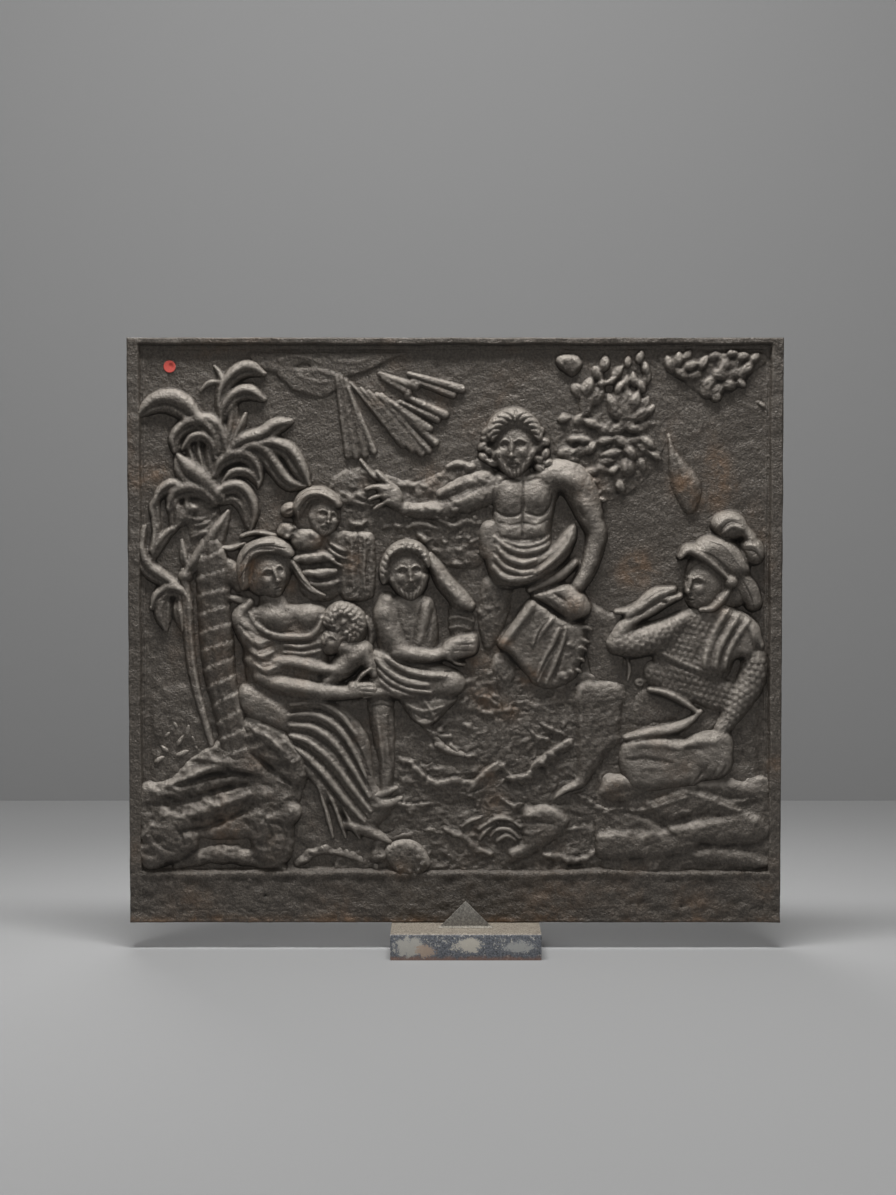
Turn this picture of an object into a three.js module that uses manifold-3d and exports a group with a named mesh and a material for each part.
// A cast-iron fireback with a pictorial relief, standing on a short welded steel rest.
// Millimetres, +Z up, and the plate's picture faces -Y. The origin is on the floor, midway along the rest's
// depth and in the middle of the plate's width.
import * as THREE from "three";
import { mergeVertices } from "three/addons/utils/BufferGeometryUtils.js";
import Module from "manifold-3d";

const wasm = await Module();
wasm.setup();

// ---- Driving dimensions ----------------------------------------------------------------------------------
// the cast plate
const plateWidth = 820;
const plateHeight = 735;
const fieldThickness = 16; // the plate behind the picture
const rimWidth = 14;
const rimRise = 9; // rim above the picture's field
const stepWidth = 8; // the lower moulding inside the rim
const stepRise = 4;
const bandHeight = 66; // the plain band under the picture
const bandRise = 8;
const burial = 4; // how deep each relief form is rooted in the plate
const panelWidth = 820; // the panel that the picture is laid out on, stretched to the plate's own size
const panelHeight = 735;

// the rest's channel, folded steel lying on its two flanges
const channelLength = 186;
const channelDepth = 150;
const channelHeight = 33;
const channelWall = 6;
const ledge = 73; // from the channel's front edge back to the plate's rim
const restAcross = 13; // the rest stands this far right of the plate's middle

// the front stop, half a square of steel plate standing on its long side
const stopWidth = 67;
const stopThickness = 3;
const stopSetback = 31; // from the plate's rim forward to the stop's back face

// the flat bars of the rear frame
const uprightWidth = 60;
const uprightThickness = 8;
const uprightHeight = 390;
const tailWidth = 60;
const tailThickness = 10;
const tailLength = 250;
const braceWidth = 40;
const braceThickness = 8;
const braceReach = 300; // up the upright from the channel to the brace's upper edge
const braceHeel = 30; // from the tail's rear end forward to the brace's foot

const weldLeg = 5;
const stopWeldLeg = 3;

// the round paper label near the plate's upper left corner
const labelDiameter = 15;
const labelThickness = 0.3;
const labelInset = 53; // from the plate's left edge
const labelDrop = 36; // from the plate's top edge

const clearance = 0.3; // between pieces that can be taken apart

// ---- Places that follow from the sizes -------------------------------------------------------------------
const restDepth = channelDepth + tailLength;
const frontY = -restDepth / 2;
const rimY = frontY + ledge; // front of the plate's rim
const fieldY = rimY + rimRise; // front of the picture's field
const plateBackY = fieldY + fieldThickness;
const channelBackY = frontY + channelDepth;
const tailEndY = channelBackY + tailLength;
const plateZ = channelHeight + clearance; // underside of the plate
const uprightY = plateBackY + clearance;
const uprightBackY = uprightY + uprightThickness;
const stopHeight = stopWidth / 2;
const stopY = rimY - stopSetback - stopThickness; // front of the stop

// ---- Materials -------------------------------------------------------------------------------------------
const castIron = new THREE.MeshStandardMaterial({ color: 0x3f3a35, roughness: 0.6, metalness: 0.5 });
const paintedSteel = new THREE.MeshStandardMaterial({ color: 0x5b5f66, roughness: 0.7, metalness: 0.2 });
const plainSteel = new THREE.MeshStandardMaterial({ color: 0x55534f, roughness: 0.55, metalness: 0.7 });
const weldMetal = new THREE.MeshStandardMaterial({ color: 0x77736b, roughness: 0.5, metalness: 0.7 });
const redPaper = new THREE.MeshStandardMaterial({ color: 0xe2564c, roughness: 0.8, metalness: 0 });

// ---- Solids ----------------------------------------------------------------------------------------------
function solidOf(geometry) {
  const bare = new THREE.BufferGeometry();
  bare.setAttribute("position", geometry.getAttribute("position"));
  if (geometry.index) bare.setIndex(geometry.index);
  const merged = mergeVertices(bare, 1e-4);
  const vertProperties = new Float32Array(merged.attributes.position.array);
  const triVerts = new Uint32Array(merged.index.array);
  return new wasm.Manifold(new wasm.Mesh({ numProp: 3, vertProperties, triVerts }));
}

function geometryOf(solid) {
  const mesh = solid.getMesh();
  const geometry = new THREE.BufferGeometry();
  geometry.setAttribute("position", new THREE.BufferAttribute(new Float32Array(mesh.vertProperties), 3));
  geometry.setIndex(new THREE.BufferAttribute(new Uint32Array(mesh.triVerts), 1));
  geometry.computeVertexNormals();
  return geometry;
}

function piece(name, geometry, material) {
  const mesh = new THREE.Mesh(geometry, material);
  mesh.name = name;
  return mesh;
}

// A box between two corners.
function box([x0, y0, z0], [x1, y1, z1]) {
  const geometry = new THREE.BoxGeometry(x1 - x0, y1 - y0, z1 - z0);
  return geometry.translate((x0 + x1) / 2, (y0 + y1) / 2, (z0 + z1) / 2);
}

// An outline of [y, z] points, as thick as width, centred on the rest's middle.
function profileAlongX(points, width) {
  const shape = new THREE.Shape(points.map(([y, z]) => new THREE.Vector2(y, z)));
  const geometry = new THREE.ExtrudeGeometry(shape, { depth: width, bevelEnabled: false });
  const turn = new THREE.Matrix4().makeBasis(
    new THREE.Vector3(0, 1, 0),
    new THREE.Vector3(0, 0, 1),
    new THREE.Vector3(1, 0, 0),
  );
  return geometry.translate(0, 0, -width / 2).applyMatrix4(turn);
}

// ---- Relief forms, in panel coordinates: across from the middle, up from the underside ---------------------
const onPlate = (across, up, rise) => [
  (across * plateWidth) / panelWidth,
  fieldY - rise,
  plateZ + (up * plateHeight) / panelHeight,
];

// The faceted half-round of a ridge, in half widths and rises, and how its round ends run out.
const ARCH = [[-1, 0], [-0.5, 0.87], [0.5, 0.87], [1, 0]];
const END_REACH = 0.7;
const END_SCALE = 0.5;

// A rounded ridge through points of [across, up, width]: a limb, a fold, a frond or a rock.
function ridge(points, rise) {
  const at = (place) => points[Math.max(0, Math.min(points.length - 1, place))];
  const stations = points.map(([x, z, width], place) => {
    const along = new THREE.Vector2(at(place + 1)[0] - at(place - 1)[0], at(place + 1)[1] - at(place - 1)[1]);
    return { x, z, along: along.normalize(), half: width / 2, lift: 1 };
  });
  const end = (station, sign) => ({
    ...station,
    x: station.x + sign * station.along.x * station.half * END_REACH,
    z: station.z + sign * station.along.y * station.half * END_REACH,
    half: station.half * END_SCALE,
    lift: END_SCALE,
  });
  const rings = [end(stations[0], -1), ...stations, end(stations.at(-1), 1)];
  const positions = [];
  for (const { x, z, along, half, lift } of rings) {
    const section = ARCH.map(([side, up]) => [side * half, up * rise * lift]);
    section.push([half, -burial], [-half, -burial]);
    for (const [side, up] of section) positions.push(...onPlate(x - along.y * side, z + along.x * side, up));
  }
  const around = ARCH.length + 2;
  const index = [];
  for (let ring = 0; ring < rings.length - 1; ring++)
    for (let k = 0; k < around; k++) {
      const a = ring * around + k;
      const b = ring * around + ((k + 1) % around);
      index.push(a, a + around, b, b, a + around, b + around);
    }
  const last = (rings.length - 1) * around;
  for (let k = 1; k < around - 1; k++) index.push(0, k, k + 1, last, last + k + 1, last + k);
  const geometry = new THREE.BufferGeometry();
  geometry.setAttribute("position", new THREE.Float32BufferAttribute(positions, 3));
  geometry.setIndex(index);
  return solidOf(geometry);
}

// An oval boss: a curl, a flower, a knee or a leaf. Lean turns its length, in degrees.
function boss(across, up, length, width, lean, rise) {
  const turn = THREE.MathUtils.degToRad(lean);
  const dx = (Math.cos(turn) * (length - width * END_REACH)) / 2;
  const dz = (Math.sin(turn) * (length - width * END_REACH)) / 2;
  return ridge([[across - dx, up - dz, width], [across + dx, up + dz, width]], rise);
}

// How far each kind of form stands out of the field.
const LEAF = 7;
const ROCK = 11;
const FOLD = 10;
const LIMB = 15;
const TORSO = 14;
const HEAD = 19;

function palm() {
  const trunk = [[-303, 442, 46], [-301, 400, 44], [-298, 340, 43], [-290, 290, 40], [-277, 235, 42]];
  const fronds = [
    [[-386, 641, 16], [-360, 655, 24], [-320, 637, 18]],
    [[-318, 640, 10], [-300, 622, 14], [-290, 598, 10]],
    [[-347, 594, 8], [-328, 624, 12], [-300, 594, 10]],
    [[-342, 582, 12], [-320, 557, 20], [-300, 542, 14]],
    [[-370, 538, 10], [-352, 552, 14], [-338, 545, 12], [-312, 538, 10]],
    [[-242, 690, 10], [-270, 687, 14], [-292, 640, 12]],
    [[-244, 665, 10], [-270, 658, 13], [-280, 600, 10]],
    [[-278, 600, 10], [-240, 616, 18], [-211, 626, 10]],
    [[-295, 572, 12], [-268, 584, 18], [-247, 553, 10]],
    [[-262, 592, 12], [-234, 580, 18], [-198, 547, 12]],
    [[-238, 600, 12], [-206, 588, 20], [-190, 556, 12]],
    [[-297, 540, 10], [-270, 546, 16], [-257, 504, 10]],
    [[-392, 480, 12], [-378, 440, 20], [-350, 428, 12]],
    [[-332, 452, 14], [-302, 480, 22], [-288, 508, 12]],
    [[-376, 405, 12], [-355, 418, 16], [-338, 408, 12]],
  ];
  const thinTrunk = [[-337, 408, 16], [-332, 330, 14], [-318, 262, 12], [-308, 228, 10]];
  const drops = [boss(-365, 390, 36, 18, 90, LEAF), boss(-347, 388, 34, 14, 90, LEAF)];
  return [ridge(trunk, LIMB), ridge(thinTrunk, FOLD), ...fronds.map((frond) => ridge(frond, LEAF)), ...drops];
}

function oldMan() {
  const hood = [[-198, 512, 20], [-188, 538, 22], [-168, 545, 20], [-148, 530, 18]];
  return [
    ridge([[-185, 480, 50], [-170, 445, 60], [-160, 415, 50]], FOLD),
    boss(-170, 522, 50, 44, 90, HEAD),
    ridge(hood, HEAD),
    ridge([[-138, 480, 30], [-128, 440, 34], [-112, 410, 30]], FOLD),
  ];
}

function motherAndChild() {
  return [
    ridge([[-232, 412, 70], [-210, 370, 96], [-205, 330, 92], [-215, 290, 88]], TORSO),
    boss(-231, 436, 60, 46, 80, HEAD),
    ridge([[-266, 445, 12], [-258, 474, 18], [-232, 485, 16], [-205, 468, 10]], LIMB),
    ridge([[-212, 461, 9], [-190, 434, 9], [-160, 412, 9]], FOLD),
    ridge([[-246, 356, 34], [-238, 325, 36], [-220, 332, 24], [-152, 320, 18]], LIMB + 2),
    ridge([[-240, 308, 26], [-185, 294, 26], [-112, 294, 22]], HEAD),
    ridge([[-150, 326, 42], [-140, 350, 44], [-130, 362, 30]], LIMB),
    boss(-141, 378, 54, 52, 90, HEAD),
    boss(-156, 356, 30, 28, 90, HEAD + 2),
    boss(-235, 276, 60, 50, 40, LIMB),
    ridge([[-203, 270, 22], [-155, 262, 22], [-118, 232, 14]], LIMB),
    ridge([[-203, 248, 22], [-140, 225, 26], [-103, 172, 16]], LIMB),
    ridge([[-200, 225, 26], [-140, 180, 32], [-105, 140, 24], [-80, 146, 12]], LIMB),
    ridge([[-165, 158, 10], [-155, 108, 10]], FOLD),
    ridge([[-148, 143, 10], [-140, 112, 10]], FOLD),
    ridge([[-125, 125, 16], [-84, 103, 14]], FOLD),
  ];
}

function youth() {
  return [
    ridge([[-60, 408, 66], [-58, 375, 76], [-62, 345, 72]], TORSO),
    boss(-61, 438, 58, 50, 90, HEAD),
    ridge([[-88, 432, 12], [-82, 465, 18], [-60, 478, 18], [-35, 464, 14]], HEAD + 1),
    ridge([[-33, 462, 18], [-18, 430, 24], [12, 402, 26]], LIMB),
    boss(8, 376, 46, 32, 0, FOLD),
    ridge([[-88, 398, 30], [-78, 360, 32], [-60, 340, 26], [-14, 338, 20]], LIMB + 3),
    ridge([[-16, 344, 30], [22, 345, 26]], LIMB + 4),
    ridge([[-96, 318, 50], [-50, 312, 54], [0, 300, 34]], LIMB + 1),
    ridge([[-68, 278, 30], [-30, 276, 46], [6, 290, 18]], LIMB),
    ridge([[-92, 285, 40], [-90, 240, 26], [-84, 190, 18], [-85, 165, 18]], LIMB),
    ridge([[-100, 163, 12], [-78, 166, 12]], FOLD),
  ];
}

function standingMan() {
  return [
    ridge([[82, 552, 90], [84, 510, 88], [84, 470, 78]], LIMB),
    boss(75, 592, 74, 50, 90, HEAD + 1),
    ridge([[38, 580, 16], [40, 622, 18], [72, 640, 18], [104, 618, 18], [110, 575, 18]], HEAD),
    ridge([[-108, 545, 9], [-75, 524, 18], [-15, 524, 28], [46, 550, 38]], HEAD),
    ridge([[-118, 580, 9], [-86, 552, 11]], LIMB),
    ridge([[112, 560, 46], [155, 545, 46], [165, 505, 42]], LIMB + 2),
    ridge([[166, 490, 28], [158, 450, 28], [146, 415, 26]], HEAD),
    boss(134, 396, 62, 42, 10, HEAD),
    ridge([[52, 478, 16], [75, 466, 18], [112, 470, 16], [142, 500, 14]], HEAD),
    ridge([[50, 440, 18], [85, 430, 22], [118, 448, 20], [147, 488, 16]], HEAD),
    ridge([[70, 398, 40], [88, 352, 60], [112, 318, 60], [118, 300, 44]], LIMB),
    ridge([[138, 372, 44], [146, 330, 30], [150, 306, 16]], LIMB - 2),
    ridge([[48, 410, 30], [46, 380, 30], [60, 320, 26], [63, 200, 22]], LIMB),
    boss(180, 393, 42, 18, -10, FOLD),
    ridge([[178, 285, 54], [178, 240, 54], [160, 190, 34], [124, 158, 12]], FOLD),
  ];
}

function soldier() {
  return [
    ridge([[298, 392, 86], [296, 350, 92], [298, 305, 88]], LIMB),
    boss(318, 424, 70, 60, 90, HEAD),
    ridge([[292, 470, 12], [322, 480, 16], [352, 464, 20], [364, 430, 26], [368, 395, 30]], HEAD - 1),
    boss(342, 500, 42, 33, 10, LIMB),
    boss(372, 468, 32, 28, 60, LIMB),
    ridge([[232, 392, 14], [255, 408, 22], [276, 412, 18]], HEAD),
    ridge([[208, 350, 36], [245, 356, 42], [284, 382, 26]], HEAD),
    ridge([[355, 385, 34], [330, 355, 44], [320, 325, 34]], HEAD),
    ridge([[364, 372, 18], [370, 320, 38], [358, 280, 36], [332, 245, 26]], LIMB + 2),
    ridge([[318, 236, 52], [312, 205, 46], [315, 180, 30]], LIMB + 2),
    ridge([[254, 334, 14], [300, 318, 16], [330, 312, 12]], HEAD - 2),
    ridge([[214, 235, 12], [262, 246, 16], [305, 272, 14]], LIMB),
    ridge([[252, 292, 12], [285, 278, 14], [302, 270, 10]], LIMB),
    ridge([[246, 222, 60], [244, 190, 66], [240, 172, 60]], LIMB),
    ridge([[216, 330, 10], [220, 308, 12], [231, 302, 16]], FOLD),
  ];
}

function sky() {
  const rays = [
    [[-138, 682, 16], [-118, 590, 26]],
    [[-128, 680, 6], [-63, 600, 6]],
    [[-92, 662, 12], [-32, 594, 14]],
    [[-60, 668, 8], [-14, 634, 8]],
    [[-92, 690, 8], [-55, 672, 8]],
    [[-55, 688, 14], [8, 668, 12]],
  ];
  const clouds = [
    [[-252, 708, 10], [-215, 692, 12], [-187, 704, 12], [-150, 685, 12]],
    [[-218, 686, 10], [-190, 668, 10], [-150, 667, 10]],
    [[-135, 538, 12], [-98, 514, 12]],
  ];
  return [...rays, ...clouds].map((line) => ridge(line, LEAF - 2));
}

function foliage() {
  const leaves = [
    [143, 698, 28, 20, 90], [188, 694, 34, 22, 20], [167, 660, 40, 32, 60], [217, 650, 50, 36, 20],
    [222, 681, 38, 16, 0], [228, 704, 26, 18, 60], [187, 619, 38, 18, 10], [222, 612, 40, 20, -20],
    [146, 596, 38, 16, 20], [202, 586, 34, 22, 40], [243, 592, 34, 12, -25], [214, 562, 34, 22, 70],
    [155, 633, 22, 14, 60], [170, 567, 20, 12, 30], [291, 702, 44, 26, 20], [320, 676, 30, 16, 80],
    [345, 698, 46, 24, 0], [290, 543, 50, 34, 95], [274, 588, 46, 12, 110],
  ];
  return leaves.map(([x, z, length, width, lean]) => boss(x, z, length, width, lean, LEAF + 1));
}

function ground() {
  const rocks = [
    [[-372, 165, 20], [-335, 180, 30], [-300, 192, 18]],
    [[-380, 120, 30], [-368, 96, 56], [-345, 84, 26]],
    [[-345, 132, 14], [-300, 148, 18], [-262, 163, 12]],
    [[-340, 196, 12], [-308, 214, 16], [-262, 222, 30], [-215, 210, 40], [-200, 180, 24]],
    [[-248, 96, 20], [-228, 108, 42], [-212, 118, 26]],
    [[-345, 74, 14], [-290, 84, 18], [-235, 72, 14]],
    [[-38, 180, 14], [2, 182, 14], [42, 197, 14]],
    [[100, 226, 16], [134, 230, 14]],
    [[14, 124, 12], [50, 126, 20], [76, 116, 12]],
    [[72, 80, 14], [110, 102, 20], [140, 128, 18]],
    [[12, 102, 12], [38, 88, 12]],
    [[122, 82, 12], [155, 80, 12], [178, 94, 12]],
    [[194, 176, 20], [228, 178, 22]],
    [[250, 140, 14], [310, 138, 22], [385, 122, 18]],
    [[196, 100, 18], [250, 98, 24], [304, 100, 14]],
    [[312, 86, 18], [350, 84, 20], [384, 76, 16]],
  ];
  return [...rocks.map((rock) => ridge(rock, ROCK)), boss(-62, 84, 52, 38, 10, ROCK), boss(-2, 218, 36, 14, -18, FOLD)];
}

// ---- Pieces ----------------------------------------------------------------------------------------------
function firebackPlate() {
  const right = plateWidth / 2;
  const top = plateZ + plateHeight;
  const field = solidOf(box([-right, fieldY, plateZ], [right, plateBackY, top]));
  const frame = (inset, width, rise) => {
    const outer = box([-right + inset, fieldY - rise, plateZ], [right - inset, fieldY + burial, top - inset]);
    const edge = inset + width;
    const inner = box([-right + edge, fieldY - 2 * rise, plateZ - 1], [right - edge, plateBackY, top - edge]);
    return solidOf(outer).subtract(solidOf(inner));
  };
  const band = box([-right, fieldY - bandRise, plateZ], [right, fieldY + burial, plateZ + bandHeight]);
  const forms = [palm(), oldMan(), motherAndChild(), youth(), standingMan(), soldier(), sky(), foliage(), ground()];
  let cast = field.add(frame(0, rimWidth, rimRise));
  cast = cast.add(frame(rimWidth - burial, burial + stepWidth, stepRise));
  cast = cast.add(solidOf(band));
  for (const form of forms.flat()) cast = cast.add(form);
  return piece("fireback", geometryOf(cast), castIron);
}

function lotLabel() {
  const disc = new THREE.CylinderGeometry(labelDiameter / 2, labelDiameter / 2, labelThickness, 32);
  const label = piece("label_disc", disc, redPaper);
  const across = labelInset - plateWidth / 2;
  label.position.set(across, fieldY - labelThickness / 2, plateZ + plateHeight - labelDrop);
  return label;
}

function restChannel() {
  const outline = [
    [frontY, 0],
    [frontY + channelWall, 0],
    [frontY + channelWall, channelHeight - channelWall],
    [channelBackY - channelWall, channelHeight - channelWall],
    [channelBackY - channelWall, 0],
    [channelBackY, 0],
    [channelBackY, channelHeight],
    [frontY, channelHeight],
  ];
  return piece("rest_channel", profileAlongX(outline, channelLength), paintedSteel);
}

function frontStop() {
  const half = new THREE.Shape([
    new THREE.Vector2(-stopWidth / 2, 0),
    new THREE.Vector2(stopWidth / 2, 0),
    new THREE.Vector2(0, stopHeight),
  ]);
  const plate = new THREE.ExtrudeGeometry(half, { depth: stopThickness, bevelEnabled: false });
  plate.rotateX(Math.PI / 2).translate(0, stopY + stopThickness, channelHeight);
  return piece("front_stop", plate, plainSteel);
}

function rearBrace() {
  const footY = tailEndY - braceHeel;
  const topY = uprightBackY + clearance;
  const footZ = tailThickness + clearance;
  const topZ = channelHeight + braceReach;
  const slope = Math.atan2(topZ - footZ, footY - topY);
  const alongFoot = braceThickness / Math.sin(slope);
  const alongTop = braceThickness / Math.cos(slope);
  const outline = [
    [footY - alongFoot, footZ],
    [footY, footZ],
    [topY, topZ],
    [topY, topZ - alongTop],
  ];
  return piece("rear_brace", profileAlongX(outline, braceWidth), plainSteel);
}

// A three-sided bead in the corner at [y, z]. Its legs run toward ySide and zSide.
function weld(name, [y, z], leg, width, ySide, zSide) {
  const outline = [
    [y, z],
    [y + ySide * leg, z],
    [y, z + zSide * leg],
  ];
  if (ySide * zSide < 0) outline.reverse();
  return piece(name, profileAlongX(outline, width), weldMetal);
}

function rest() {
  const group = new THREE.Group();
  group.position.x = restAcross;
  const halfUpright = uprightWidth / 2;
  const uprightTop = channelHeight + uprightHeight;
  const upright = box([-halfUpright, uprightY, channelHeight], [halfUpright, uprightBackY, uprightTop]);
  const tail = box([-tailWidth / 2, channelBackY, 0], [tailWidth / 2, tailEndY, tailThickness]);
  const footCorner = [tailEndY - braceHeel + clearance, tailThickness];
  const topCorner = [uprightBackY, channelHeight + braceReach + clearance];
  group.add(
    restChannel(),
    frontStop(),
    piece("rear_upright", upright, plainSteel),
    piece("tail_bar", tail, plainSteel),
    rearBrace(),
    weld("stop_weld", [stopY, channelHeight], stopWeldLeg, stopWidth, -1, 1),
    weld("upright_weld", [uprightBackY, channelHeight], weldLeg, uprightWidth, 1, 1),
    weld("tail_weld", [channelBackY, tailThickness], weldLeg, tailWidth, 1, 1),
    weld("brace_foot_weld", footCorner, weldLeg, braceWidth, 1, 1),
    weld("brace_top_weld", topCorner, weldLeg, braceWidth, 1, 1),
  );
  return group;
}

const group = new THREE.Group();
group.name = "fireback_on_rest";
group.add(firebackPlate(), lotLabel(), rest());

export default group;
